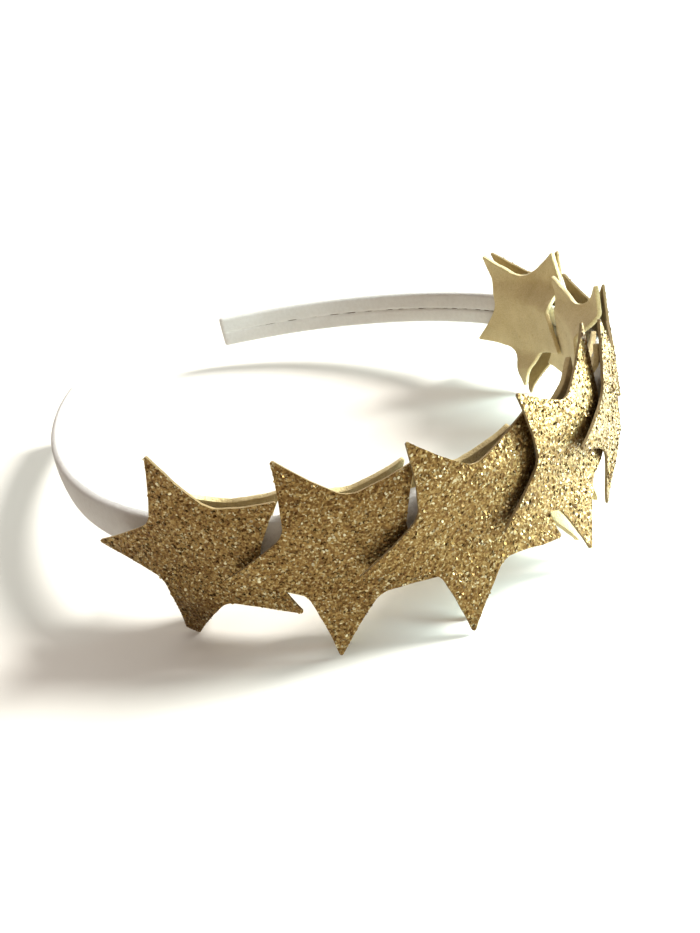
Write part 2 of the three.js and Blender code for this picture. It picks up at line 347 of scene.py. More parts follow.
@dataclass
class BandPath:
    """The band's centre line as it lies on the table, in millimetres until it is set down."""

    half_length: float = 194.5
    width: float = 9.0
    thickness: float = 2.6
    corner: float = 0.75
    crown_radius: float = 66.4
    side_radius: float = 119.0
    crown_reach: float = 91.0
    side_reach: float = 139.0
    tilt: float = 0.103
    pivot: float = 57.4
    rest_height: float = 20.6
    step: float = 0.5
    line_reach: float = 220.0
    box_rings: int = 97

    def __post_init__(self) -> None:
        """Finds the centre line by small steps, then sets the band down where the frame has it."""
        self.shift = np.zeros(3)
        count = int(self.line_reach / self.step)
        angles = self.heading((np.arange(count) + 0.5) * self.step)
        self.line_s = np.arange(count + 1) * self.step
        self.line_x = np.concatenate([[0.0], np.cumsum(np.cos(angles)) * self.step])
        self.line_y = np.concatenate([[0.0], np.cumsum(np.sin(angles)) * self.step])
        along = np.linspace(-self.half_length, self.half_length, self.box_rings)
        edge = np.full_like(along, self.thickness / 2)
        side = np.full_like(along, self.width / 2 - self.corner)
        corners = [self.set_down(self.place(along, d * edge, z * side)) for d in (-1, 1) for z in (-1, 1)]
        low = np.concatenate(corners).min(axis=0)
        high = np.concatenate(corners).max(axis=0)
        box_low, box_high = (np.array(corner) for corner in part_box("band"))
        self.shift = (box_low + box_high - low - high) / 2
        self.shift[2] = 0.0

    def heading(self, s: Array) -> Array:
        """Direction of the centre line at distances s from the middle of the crown."""
        a = np.abs(s)
        crown = 1.0 / self.crown_radius
        side = 1.0 / self.side_radius
        span = self.side_reach - self.crown_reach
        blend = np.clip(a - self.crown_reach, 0.0, span)
        beyond = np.maximum(a - self.side_reach, 0.0)
        turned = crown * (np.minimum(a, self.crown_reach) + blend) + (side - crown) * blend**2 / (2 * span)
        return np.sign(s) * (turned + side * beyond)

    def place(self, s: Array, d: Array, z: Array) -> Array:
        """Points at distances s along the band, d outwards and z up, before it lies on the table."""
        a = np.abs(s)
        x = np.interp(a, self.line_s, self.line_x)
        y = np.interp(a, self.line_s, self.line_y)
        angle = self.heading(s)
        return np.stack([np.sign(s) * x + d * np.sin(angle), y - d * np.cos(angle), z], axis=-1)

    def set_down(self, points: Array) -> Array:
        """Tilts points so that the stars stand on the table, and gives them in the frame's metres."""
        y = points[..., 1] - self.pivot
        c = cos(self.tilt)
        s = sin(self.tilt)
        z = points[..., 2]
        laid = np.stack([points[..., 0], c * y + s * z, c * z - s * y + self.rest_height], axis=-1)
        return laid * MM + self.shift

    def lay_rings(self, s: Array, d: Array, z: Array) -> Array:
        """Points of a ring at each distance s, whose rows in d and z give it, in the frame's metres."""
        return self.set_down(self.place(np.repeat(s[:, None], z.shape[1], axis=1), d, z))


def pick(piece: Piece) -> None:
    """Selects one piece alone and makes it active."""
    bpy.ops.object.select_all(action="DESELECT")
    piece.select_set(True)
    bpy.context.view_layer.objects.active = piece


def new_piece(name: str, points: Array, faces: list, materials: list) -> Piece:
    """Makes a piece that rides on the headband.

    Args:
        name: Name of the piece.
        points: Corners in metres.
        faces: Corner numbers of each face.
        materials: Its material slots.

    Returns:
        The new object, selected alone and active.
    """
    mesh = bpy.data.meshes.new(name)
    mesh.from_pydata(points.tolist(), [], faces)
    for material in materials:
        mesh.materials.append(material)
    made = bpy.data.objects.new(name, mesh)
    bpy.context.scene.collection.objects.link(made)
    pick(made)
    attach(made, "root")
    return made


def grid_faces(rows: int, columns: int, closed: bool) -> list:
    """Quads between the points of a grid, whose rows may close on themselves."""
    faces = []
    for row in range(rows - 1):
        for column in range(columns if closed else columns - 1):
            a = row * columns + column
            b = row * columns + (column + 1) % columns
            faces.append((a, a + columns, b + columns, b))
    return faces


def apply_modifier(piece: Piece, kind: str, **settings) -> None:
    """Picks the piece, adds a modifier with these settings to it and applies it."""
    pick(piece)
    bpy.ops.object.modifier_add(type=kind)
    modifier = piece.modifiers[-1]
    for name, value in settings.items():
        setattr(modifier, name, value)
    bpy.ops.object.modifier_apply(modifier=modifier.name)


def set_map(piece: Piece, flat: Array) -> None:
    """Gives a piece a map from flat places, one for each vertex."""
    layer = piece.data.uv_layers.new(name="cloth")
    corner = np.zeros(len(piece.data.loops), np.int32)
    piece.data.loops.foreach_get("vertex_index", corner)
    layer.data.foreach_set("uv", flat[corner].astype(np.float32).ravel())


def set_tone(piece: Piece, tones: Array) -> None:
    """Keeps a tone from 0 to 1 for each face."""
    attribute = piece.data.attributes.new("tone", "FLOAT", "FACE")
    attribute.data.foreach_set("value", tones.astype(np.float32))


@dataclass
class SatinBand:
    """The covered band: a stiff strip and the satin folded round it, its edges meeting inside."""

    path: BandPath
    flat_width: float = 0.0225
    cloth: float = 0.28
    crown: float = 0.4
    edge_points: int = 11
    face_steps: int = 9
    ring_step: float = 1.0
    smooth_angle: float = 50.0
    seam_gap: float = 0.5
    seam_least: float = 0.06
    seam_bias: float = 0.6
    seam_period: float = 1.5
    seam_closed: float = 25.0
    lip_width: float = 1.2
    lip_depth: float = 0.22
    lip_power: int = 6
    pucker: float = 0.05
    pucker_period: float = 3.4
    pucker_lines: int = 4
    pucker_height: float = 3.1
    pucker_spread: float = 0.9
    pucker_outside: float = 0.35
    drift: float = 0.05
    drift_period: float = 14.0
    end_fold: tuple = ((0.9, 0.16), (0.62, 0.24), (0.3, 0.27), (0.03, 0.28))
    end_width: Span = (0.55, 0.45)
    core_room: float = 0.12
    core_corner: float = 0.5
    core_short: float = 0.6
    core_steps: int = 3
    core_rings: int = 151
    core_map_step: float = 0.5
    core_smooth_angle: float = 40.0
    seed: int = 11

    def section(self, half_width: float, half_thick: float, corner: float, per_face: int) -> Array:
        """Half profile points from the inner seam over the top edge to the outer middle.

        Args:
            half_width: Half the strip's width.
            half_thick: Half its thickness in the middle.
            corner: Radius of its edges.
            per_face: Steps across half a face.

        Returns:
            Rows of (outwards, up).
        """
        z = np.linspace(0.0, half_width - corner, per_face + 1)
        sunk = self.crown * (z / half_width) ** 2
        inner = np.stack([-half_thick + sunk, z], axis=1)
        edge = half_thick - sunk[-1]
        turn = np.linspace(pi, 0.0, self.edge_points)[1:-1]
        rounded = np.stack([edge * np.cos(turn), half_width - corner + corner * np.sin(turn)], axis=1)
        outer = inner[::-1] * (-1.0, 1.0)
        return np.concatenate([inner, rounded, outer])

    def build(self, wardrobe: Wardrobe) -> list[Piece]:
        """Models the satin cover and the strip inside it, and gives both."""
        cover = self._cover(wardrobe)
        core = self._core(wardrobe)
        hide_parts("band")
        return [cover, core]

    @staticmethod
    def _rings(profile: Array, count: int) -> Array:
        """Copies of a profile, one to a ring: first the outward distances, then the heights."""
        return np.repeat(profile.T[:, None, :], count, axis=1)

    def _cover(self, wardrobe: Wardrobe) -> Piece:
        """The satin, folded round the strip with both edges turned in at the seam."""
        rng = np.random.default_rng(self.seed)
        path = self.path
        half = self.section(path.width / 2, path.thickness / 2, path.corner, self.face_steps)
        profile = np.concatenate([half, half[::-1][1:] * (1.0, -1.0)])
        count = int(2 * path.half_length / self.ring_step)
        s = np.linspace(-path.half_length, path.half_length, count + 1)
        d, z = self._rings(profile, len(s))
        parted = np.clip(slow_noise(s, self.seam_period, rng) + self.seam_bias, 0.0, 1.0) * self.seam_gap
        open_share = smooth_step(path.half_length - np.abs(s), 0.0, self.seam_closed)
        parted = parted * open_share + self.seam_least
        inner = d < 0
        lip = inner & (np.abs(z) < self.lip_width)
        ease = np.where(lip, 1.0 - np.abs(z) / self.lip_width, 0.0)
        sign = np.where(np.arange(z.shape[1]) < z.shape[1] // 2, 1.0, -1.0)
        z = z + sign * ease * parted[:, None] / 2
        d = d + ease**self.lip_power * self.lip_depth
        # The upper and the lower edge take the first two lines; the rest are drawn and left unused.
        wave = np.stack([slow_noise(s, self.pucker_period, rng) for _ in range(self.pucker_lines)])
        near_edge = np.exp(-(((np.abs(z) - self.pucker_height) / self.pucker_spread) ** 2))
        side = np.where(z > 0, wave[0][:, None], wave[1][:, None])
        d = d + np.where(inner, -1.0, self.pucker_outside) * self.pucker * near_edge * side
        z = z + (self.drift * slow_noise(s, self.drift_period, rng))[:, None]
        points = path.lay_rings(s, d, z)
        rows, columns = z.shape
        tips = []
        for row, way in ((0, -1.0), (rows - 1, 1.0)):
            for shrink, out in self.end_fold:
                beyond = np.full(columns, s[row] + way * out)
                drawn_in = z[row] * (self.end_width[0] + self.end_width[1] * shrink)
                tips.append(path.set_down(path.place(beyond, d[row] * shrink, drawn_in)))
        folds = len(self.end_fold)
        grid = np.concatenate([np.stack(tips[:folds][::-1]), points, np.stack(tips[folds:])])
        arc = np.concatenate([[0.0], np.cumsum(np.linalg.norm(np.diff(profile, axis=0), axis=1))])
        lengths = np.concatenate([[s[0]] * folds, s, [s[-1]] * folds])
        faces = grid_faces(len(grid), columns, closed=False)
        piece = new_piece("satin_cover", grid.reshape(-1, 3), faces, [wardrobe.satin])
        set_map(piece, np.stack(np.meshgrid(lengths, arc, indexing="ij"), axis=-1).reshape(-1, 2))
        apply_modifier(piece, "SOLIDIFY", thickness=self.cloth * MM, offset=-1.0)
        bpy.ops.object.shade_smooth_by_angle(angle=radians(self.smooth_angle))
        return piece

    def _core(self, wardrobe: Wardrobe) -> Piece:
        """The stiff strip, which shows only where the satin's edges part; its dark colour is partly
        painted shade for that seam.
        """
        path = self.path
        inset = self.cloth + self.core_room
        sizes = (path.width / 2 - inset, path.thickness / 2 - inset)
        half = self.section(*sizes, self.core_corner, self.core_steps)
        profile = np.concatenate([half, half[::-1][1:-1] * (1.0, -1.0)])
        reach = path.half_length - self.core_short
        s = np.linspace(-reach, reach, self.core_rings)
        d, z = self._rings(profile, len(s))
        points = path.lay_rings(s, d, z)
        rows, columns = z.shape
        faces = grid_faces(rows, columns, closed=True)
        faces.append(tuple(range(columns)))
        faces.append(tuple((rows - 1) * columns + k for k in reversed(range(columns))))
        piece = new_piece("core_strip", points.reshape(-1, 3), faces, [wardrobe.core])
        arc = np.arange(columns) * self.core_map_step
        set_map(piece, np.stack(np.meshgrid(s, arc, indexing="ij"), axis=-1).reshape(-1, 2))
        bpy.ops.object.shade_smooth_by_angle(angle=radians(self.core_smooth_angle))
        return piece


class Arm(Enum):
    """The arms of a star, counter-clockwise, by their direction in degrees."""

    UPPER_RIGHT = 54.0
    UPPER_LEFT = 126.0
    LEFT = 198.0
    FOOT = 270.0
    RIGHT = 342.0

    def following(self) -> "Arm":
        """The next arm, counter-clockwise."""
        arms = list(Arm)
        return arms[(arms.index(self) + 1) % len(arms)]

    def reach(self, p: Array) -> Array:
        """How far points of the flat star lie out along this arm."""
        angle = radians(self.value)
        return p[:, 0] * cos(angle) + p[:, 1] * sin(angle)


@dataclass(frozen=True)
class StarTrim:
    """How one star was cut by hand, as shares of the plain cut; foot_blunt is in millimetres."""

    right_arm: float
    foot: float
    right_notch: float
    foot_blunt: float
    felt: float
    felt_arm: float
    felt_foot: float
    felt_notch: float

    def arm_share(self, arm: Arm, layer: Layer) -> float:
        """Length of an arm as a share of the plain cut's."""
        front = layer is Layer.GLITTER
        if arm is Arm.FOOT:
            return self.foot if front else self.felt_foot
        return self.right_arm if front and arm is Arm.UPPER_RIGHT else 1.0

    def notch_share(self, arm: Arm, layer: Layer) -> float:
        """How far out the notch before an arm lies, as a share of the plain cut's."""
        if layer is Layer.GLITTER:
            return self.right_notch if arm is Arm.UPPER_RIGHT else 1.0
        return self.felt_notch if arm is Arm.LEFT else 1.0


# One row to a star, with the fields above as columns.
STAR_TRIMS = [
    StarTrim(0.9, 0.98, 1.0, 1.6, 0.93, 1.0, 0.85, 1.0),
    StarTrim(0.92, 1.0, 1.0, 0.3, 0.93, 0.72, 1.0, 1.0),
    StarTrim(1.08, 1.0, 1.5, 0.3, 0.93, 0.66, 1.0, 1.0),
    StarTrim(1.2, 1.0, 1.3, 0.3, 0.93, 0.5, 1.0, 1.0),
    StarTrim(1.0, 1.0, 1.0, 0.3, 0.93, 0.72, 1.0, 1.0),
    StarTrim(1.0, 1.0, 1.0, 0.3, 1.0, 1.0, 1.0, 1.0),
    StarTrim(1.0, 1.0, 1.0, 0.3, 1.0, 1.0, 0.86, 1.3),
]


@dataclass(frozen=True)
class StarCut:
    """The cut of a star and how its layers hang on the band, in millimetres.

    A span tells where along the star a bend begins and where it is complete.
    """

    tip_radius: float = 22.0
    notch_radius: float = 11.25
    tip_blunt: float = 0.3
    tip_bulge: float = 0.012
    notch_round: float = 1.5
    notch_ease: float = 0.35
    edge_hollow: float = 0.25
    front_thickness: float = 1.0
    glitter_cloth: float = 0.55
    back_thickness: float = 1.1
    gap: float = 0.32
    reach: float = 21.0
    lean_ease: float = 3.0
    droop_span: Span = (8.0, 22.0)
    curl_span: Span = (9.0, 22.0)
    dip_span: Span = (8.5, 19.0)
    tuck_span: Span = (11.0, 21.0)
    slope_span: Span = (0.0, 6.0)
    shut_span: Span = (-3.0, 5.0)
    top_span: Span = (0.0, 6.5)
    foot_span: Span = (13.0, 20.0)
    felt_turn: float = 0.86
    felt_drop: float = 1.05
    slope_lost: float = 0.8
    pinch_gap: float = 1.25

    def outline(self, trim: StarTrim, layer: Layer, step: float) -> Array:
        """The outline of one layer's cut, counter-clockwise.

        Args:
            trim: How this star was cut.
            layer: Which cloth.
            step: Distance between points.

        Returns:
            Points of the closed outline.
        """
        front = layer is Layer.GLITTER
        size = 1.0 if front else trim.felt
        sector = 2 * pi / len(Arm)
        runs = []
        for arm in Arm:
            angle = radians(arm.value)
            before, after, tip = (
                size * radius * np.array([cos(turn), sin(turn)])
                for radius, turn in (
                    (self.notch_radius * trim.notch_share(arm, layer), angle - sector / 2),
                    (self.notch_radius * trim.notch_share(arm.following(), layer), angle + sector / 2),
                    (self.tip_radius * trim.arm_share(arm, layer), angle),
                )
            )
            if arm is Arm.UPPER_LEFT and not front:
                tip = before + (tip - before) * trim.felt_arm
            blunt = trim.foot_blunt if arm is Arm.FOOT and front else self.tip_blunt
            side = unit(after - before)
            lower = tip - side * blunt
            upper = tip + side * blunt
            share = self.notch_round / np.linalg.norm(lower - before)
            leave = before + (lower - before) * share
            arrive = after + (upper - after) * share
            bulge = (tip - (before + after) / 2) * self.tip_bulge
            notch = after * (1 + self.notch_ease * self.notch_round / self.notch_radius)
            runs.append((leave, self._hollow(before, lower), lower))
            runs.append((lower, (lower + upper) / 2 + bulge, upper))
            runs.append((upper, self._hollow(upper, after), arrive))
            runs.append((arrive, notch, None))
        points = []
        for index, (first, middle, last) in enumerate(runs):
            if last is None:
                last = runs[(index + 1) % len(runs)][0]
            control = 2 * middle - (first + last) / 2
            count = max(2, round(float(np.linalg.norm(last - first)) / step))
            t = (np.arange(count) / count)[:, None]
            points.append((1 - t) ** 2 * first + 2 * t * (1 - t) * control + t**2 * last)
        return np.concatenate(points)

    def _hollow(self, start: Array, end: Array) -> Array:
        """Middle of an edge that is cut slightly hollow."""
        along = unit(end - start)
        return (start + end) / 2 + np.array([-along[1], along[0]]) * self.edge_hollow

    def leaning(self, past: Array) -> Array:
        """How far a leaning star has left the straight, at distances past the band's edge."""
        return past**2 / (past + self.lean_ease)


@dataclass(frozen=True)
class StarPlace:
    """Where one star sits and how it bends."""

    along: float
    turn: float
    lean: float
    rise: float
    left_flat: float
    flat: float
    dip: float
    tuck: float
    curl: float
    droop: float
    felt_slope: float
    right_shut: float
    foot_shut: float


# One row to a star, with the fields above as columns.
STAR_PLACES = [
    StarPlace(-79.9, -0.397, -0.05, 0.078, 0.4, 0.1, 0.0, 0.0, 2.0, 0.0, 0.085, 0.3, 1.0),
    StarPlace(-52.6, -0.209, -0.16, 0.078, 0.4, 0.1, 0.3, 0.0, 0.0, 0.0, 0.085, 0.3, 0.6),
    StarPlace(-29.0, -0.19, -0.19, 0.078, 0.4, 0.1, 0.8, 0.0, 0.0, 2.4, 0.085, 0.75, 0.6),
    StarPlace(-2.8, -0.02, -0.21, 0.06, 0.4, 0.0, 0.4, 0.75, 0.0, 0.0, 0.085, 0.6, 0.6),
    StarPlace(18.4, -0.374, -0.07, 0.069, 0.4, 0.1, 0.5, 0.0, 1.5, 0.0, 0.085, 0.5, 0.8),
    StarPlace(54.5, -0.13, -0.1, 0.03, 0.05, 0.1, 0.6, 0.0, 0.0, 0.0, 0.085, 0.45, 0.6),
    StarPlace(84.0, -0.108, -0.16, 0.045, 0.4, 0.1, 0.0, 0.0, 10.0, 0.0, 0.06, 0.45, 0.9),
]


@dataclass(frozen=True)
class FlakeStyle:
    """Loose glitter flakes over a star's face and along its rim, in millimetres."""

    face_count: int = 1150
    rim_count: int = 220
    margin: float = 0.2
    rim_inset: Span = (0.97, 0.985)
    lift: Span = (0.03, 0.11)
    face_tilt: float = 0.34
    rim_tilt: float = 0.2
    radius: Span = (0.18, 0.38)
    rim_size: float = 0.6
    half_thick: float = 0.02
    sides: int = 6


@dataclass(frozen=True)
class FuzzStyle:
    """Fibres that stand off a felt star's rim and faces, in millimetres."""

    rim_count: int = 420
    face_count: int = 520
    rim_step: float = 0.3
    margin: float = 0.3
    rim_root: float = 0.1
    face_root: float = 0.02
    inner_share: float = 0.7
    rim_spread: float = 0.8
    face_rise: Span = (0.05, 0.16)
    rim_rise: float = 0.12
    stray: float = 0.75
    bend: float = 0.5
    face_length: Span = (0.5, 1.2)
    rim_length: Span = (0.25, 0.75)
    arch: float = 0.8
    clearance: float = 0.05
    radius: Span = (0.016, 0.028)
    taper: float = 0.8
    sides: int = 3


@dataclass
class Star:
    """One star: a glitter layer outside the band and a felt layer inside it."""

    number: int
    place: StarPlace
    trim: StarTrim
    path: BandPath
    cut: StarCut = StarCut()
    flake: FlakeStyle = FlakeStyle()
    fuzz: FuzzStyle = FuzzStyle()
    first_seed: int = 100
    facet: float = 0.5
    crumb: float = 0.044
    rim_crumb: float = 0.4
    crumb_limit: float = 2.0
    rim_step: float = 0.5
    felt_cell: float = 0.75
    felt_step: float = 0.6
    felt_grain: float = 0.035
    felt_bevel: float = 0.3
    bevel_segments: int = 2
    bevel_angle: float = 55.0
    glitter_waver: float = 0.07
    felt_waver: float = 0.12
    waver_period: float = 5.0
    waver_start: float = 6.0
    cell_scatter: float = 0.3
    cell_rows: float = 0.866
    cell_margin: float = 0.55
    grid_margin: float = 1.0
    merge_distance: float = 1e-6
    probe: float = 0.05
    settle_step: float = 0.6
    settle_turns: int = 8
    height: float = 0.0

    def __post_init__(self) -> None:
        """Finds the height of the star's centre from the frame."""
        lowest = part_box(f"star_{self.number}_front")[0].z
        rim = self.cut.outline(self.trim, Layer.GLITTER, self.settle_step)
        half = self.cut.front_thickness / 2
        for _ in range(self.settle_turns):
            both = [self.drape(rim, Layer.GLITTER, side * half)[0] for side in (-1, 1)]
            found = min(float(points[:, 2].min()) for points in both)
            self.height -= (found - lowest) / MM

    def stand_off(self, p: Array, layer: Layer) -> tuple[Array, Array, Array]:
        """Where points of the flat star lie.

        Args:
            p: Points of the flat star.
            layer: Which cloth.

        Returns:
            Distance along the band, distance up, and distance outwards, each from the star's centre.
        """
        cut = self.cut
        row = self.place
        loss = 0.0 if layer is Layer.GLITTER else 1.0 - self.trim.felt
        turn = row.turn + cut.felt_turn * loss
        x = p[:, 0]
        y = p[:, 1]
        to_side = Arm.RIGHT.reach(p)
        drop = cut.felt_drop * loss * cut.tip_radius + row.droop * smooth_step(to_side, *cut.droop_span)
        u = x * cos(turn) - y * sin(turn)
        v = x * sin(turn) + y * cos(turn) - drop
        edge = self.path.width / 2 + cut.gap
        above = np.maximum(v + self.height - edge, 0.0)
        below = np.maximum(-(v + self.height) - edge, 0.0)
        lean = row.lean * (cut.leaning(above) - cut.leaning(below))
        flat = np.where(u < 0, row.left_flat, row.flat) / (2 * self.path.crown_radius)
        lay = np.maximum(cut.reach - u, 0.0)
        curl = row.curl * smooth_step(-y, *cut.curl_span)
        half_band = self.path.thickness / 2
        front = half_band + cut.gap + cut.front_thickness / 2 + row.rise * lay + flat * u**2 + lean
        front = front - row.dip * smooth_step(Arm.UPPER_RIGHT.reach(p), *cut.dip_span)
        front = front - row.tuck * smooth_step(to_side, *cut.tuck_span) - curl
        if layer is Layer.GLITTER:
            return u, v, front
        slope = row.felt_slope * lay * (1.0 - cut.slope_lost * smooth_step(above, *cut.slope_span))
        spread = lean - curl - (half_band + cut.gap + cut.back_thickness / 2 + slope)
        shut = front - (cut.front_thickness + cut.back_thickness) / 2 - cut.pinch_gap * cut.gap
        share = 1.0 - (1.0 - row.right_shut) * smooth_step(u, *cut.shut_span)
        top = share * smooth_step(above, *cut.top_span)
        foot = row.foot_shut * smooth_step(-y, *cut.foot_span)
        return u, v, spread + np.maximum(top, foot) * (shut - spread)

    def drape(self, p: Array, layer: Layer, lift: Array | float) -> tuple[Array, Array]:
        """Lays points of the flat star on the band.

        Args:
            p: Points of the flat star.
            layer: Which cloth.
            lift: Distance off the middle of the cloth, outwards.

        Returns:
            Points in metres and unit normals.
        """
        step = self.probe

        def middle(dx: float, dy: float) -> Array:
            """Middle of the cloth a little to one side of each point."""
            u, v, d = self.stand_off(p + np.array([dx, dy]), layer)
            return self.path.place(self.place.along + u, d, self.height + v)

        normal = unit(np.cross(middle(step, 0) - middle(-step, 0), middle(0, step) - middle(0, -step)))
        raised = middle(0, 0) + normal * np.broadcast_to(lift, len(p))[:, None]
        laid = self.path.set_down(raised)
        tip = self.path.set_down(raised + normal)
        return laid, (tip - laid) / MM

    @staticmethod
    def inside(points: Array, rim: Array, margin: float) -> Array:
        """Tells which points lie inside an outline and further than margin from it."""
        following = np.roll(rim, -1, axis=0)
        x = points[:, 0][:, None]
        y = points[:, 1][:, None]
        spans = (rim[None, :, 1] > y) != (following[None, :, 1] > y)
        rise = following[:, 1] - rim[:, 1]
        rise = np.where(np.abs(rise) < TINY, TINY, rise)
        cross = (following[:, 0] - rim[:, 0]) * (y - rim[:, 1]) / rise + rim[:, 0]
        odd = (spans & (x < cross)).sum(axis=1) % 2 == 1
        near = ((points[:, None, :] - rim[None]) ** 2).sum(axis=2).min(axis=1)
        return odd & (near > margin**2)

    def scatter(self, rim: Array, reach: float, count: int, margin: float, rng: Random) -> Array:
        """Random spots, up to count of them, inside an outline and further than margin from it."""
        spots = rng.uniform(-reach, reach, (DRAWS_PER_SPOT * count, 2))
        return spots[self.inside(spots, rim, margin)][:count]

    def flat_mesh(self, rim: Array, cell: float, rng: Random) -> tuple[Array, list]:
        """Triangles of about one size that fill an outline.

        Args:
            rim: The outline.
            cell: Usual distance between points.
            rng: Source of the random numbers.

        Returns:
            Points, those of the outline first, and triangles.
        """
        reach = float(np.abs(rim).max()) + self.grid_margin
        rows = np.arange(-reach, reach, cell * self.cell_rows)
        columns = np.arange(-reach, reach, cell)
        x, y = np.meshgrid(columns, rows)
        x = x + (np.arange(len(rows)) % 2)[:, None] * cell / 2
        points = np.stack([x.ravel(), y.ravel()], axis=1)
        points += rng.uniform(-self.cell_scatter, self.cell_scatter, points.shape) * cell
        points = points[self.inside(points, rim, cell * self.cell_margin)]
        every = [Vector(point) for point in np.concatenate([rim, points])]
        loop = list(range(len(rim)))
        found = delaunay_2d_cdt(every, [], [loop], 1, self.merge_distance)
        return np.array([tuple(point) for point in found[0]]), [tuple(face) for face in found[2]]

    def sheet(self, name: str, flat: Array, faces: list, rim_count: int, lifts: tuple, layer: Layer,
              materials: list) -> Piece:
        """A thick draped sheet with both faces and a cut edge.

        Args:
            name: Name of the piece.
            flat: Points of the flat cut, those of the outline first.
            faces: Triangles between them.
            rim_count: How many points the outline has.
            lifts: Distance of the outer and of the inner face from the cloth's middle.
            layer: Which cloth.
            materials: Material of the outer face, then of the inner face and the cut edge.

        Returns:
            The piece.
        """
        outer, inner = (self.drape(flat, layer, lift)[0] for lift in lifts)
        total = len(flat)
        every = list(faces)
        every += [tuple(total + k for k in reversed(face)) for face in faces]
        for k in range(rim_count):
            after = (k + 1) % rim_count
            every.append((k, total + k, total + after, after))
        piece = new_piece(name, np.concatenate([outer, inner]), every, materials)
        slots = np.ones(len(every), np.int32)
        slots[: len(faces)] = 0
        piece.data.polygons.foreach_set("material_index", slots)
        set_map(piece, np.concatenate([flat, flat]))
        return piece

    def wavered(self, rim: Array, amount: float, rng: Random) -> Array:
        """An outline whose cut strays a little, as by scissors."""
        order = np.arange(len(rim)) * 1.0
        stray = slow_noise(order, self.waver_period, rng) * smooth_step(order, 0.0, self.waver_start)
        return rim + outward(rim) * (stray * amount)[:, None]

    def build(self, wardrobe: Wardrobe) -> list[Piece]:
        """Models both layers of the star with their flakes and fibres, and gives the four pieces."""
        rng = np.random.default_rng(self.first_seed + self.number)
        front = self._glitter(wardrobe, rng)
        flakes = self._flakes(wardrobe, rng)
        back = self._felt(wardrobe, rng)
        fuzz = self._fuzz(wardrobe, rng)
        for piece, layer, extra in ((front, Layer.GLITTER, flakes), (back, Layer.FELT, fuzz)):
            rim = self.cut.outline(self.trim, layer, self.rim_step)
        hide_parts(f"star_{self.number}_front")
        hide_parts(f"star_{self.number}_back")
        return [front, flakes, back, fuzz]

    def _glitter(self, wardrobe: Wardrobe, rng: Random) -> Piece:
        """The glitter cloth: a crumbed outer face of small tilted facets on a plain backing."""
        rim = self.cut.outline(self.trim, Layer.GLITTER, self.facet)
        rim = self.wavered(rim, self.glitter_waver, rng)
        flat, faces = self.flat_mesh(rim, self.facet, rng)
        half = self.cut.front_thickness / 2
        crumbs = rng.normal(0.0, self.crumb, len(flat))
        crumbs[: len(rim)] *= self.rim_crumb
        most = self.crumb_limit * self.crumb
        lifts = (half + np.clip(crumbs, -most, most), half - self.cut.glitter_cloth)
        name = f"star_{self.number}_glitter"
        materials = [wardrobe.glitter, wardrobe.backing]
        piece = self.sheet(name, flat, faces, len(rim), lifts, Layer.GLITTER, materials)
        set_tone(piece, rng.uniform(0.0, 1.0, len(piece.data.polygons)))
        return piece

    def _flakes(self, wardrobe: Wardrobe, rng: Random) -> Piece:
        """Loose-lying flakes: small six-sided plates, each at its own tilt."""
        style = self.flake
        rim = self.cut.outline(self.trim, Layer.GLITTER, self.rim_step)
        spots = self.scatter(rim, float(np.abs(rim).max()), style.face_count, style.margin, rng)
        edge = rim[rng.integers(0, len(rim), style.rim_count)]
        edge = edge * rng.uniform(*style.rim_inset, (style.rim_count, 1))
        spots = np.concatenate([spots, edge])
        count = len(spots)
        on_face = np.arange(count) < count - style.rim_count
        lift = self.cut.front_thickness / 2 + rng.uniform(*style.lift, count)
        centre, normal = self.drape(spots, Layer.GLITTER, lift)
        tilt = np.where(on_face, style.face_tilt, style.rim_tilt)[:, None]
        axis = unit(normal + rng.normal(0.0, 1.0, (count, 3)) * tilt)
        spoke = spokes(axis, style.sides, rng)
        radius = rng.uniform(*style.radius, count) * np.where(on_face, 1.0, style.rim_size) * MM
        plate = centre[:, None] + spoke * radius[:, None, None]
        thick = (style.half_thick * MM) * axis[:, None]
        points = np.concatenate([plate + thick, plate - thick], axis=1).reshape(-1, 3)
        sides = style.sides
        faces = []
        for base in range(0, 2 * sides * count, 2 * sides):
            faces.append(tuple(base + i for i in range(sides)))
            faces.append(tuple(base + 2 * sides - 1 - i for i in range(sides)))
            for i in range(sides):
                after = (i + 1) % sides
                faces.append((base + i, base + sides + i, base + sides + after, base + after))
        piece = new_piece(f"star_{self.number}_flakes", points, faces, [wardrobe.flakes])
        set_tone(piece, np.repeat(rng.uniform(0.0, 1.0, count), sides + 2))
        return piece

    def _felt(self, wardrobe: Wardrobe, rng: Random) -> Piece:
        """The felt star: soft uneven faces and a rounded cut edge."""
        rim = self.wavered(self.cut.outline(self.trim, Layer.FELT, self.felt_step), self.felt_waver, rng)
        flat, faces = self.flat_mesh(rim, self.felt_cell, rng)
        half = self.cut.back_thickness / 2
        lifts = tuple(side * half + rng.normal(0.0, self.felt_grain, len(flat)) for side in (1, -1))
        name = f"star_{self.number}_felt"
        piece = self.sheet(name, flat, faces, len(rim), lifts, Layer.FELT, [wardrobe.felt, wardrobe.felt])
        edge = {"width": self.felt_bevel * MM, "segments": self.bevel_segments}
        angle = radians(self.bevel_angle)
        apply_modifier(piece, "BEVEL", limit_method="ANGLE", angle_limit=angle, **edge)
        bpy.ops.object.shade_smooth()
        return piece

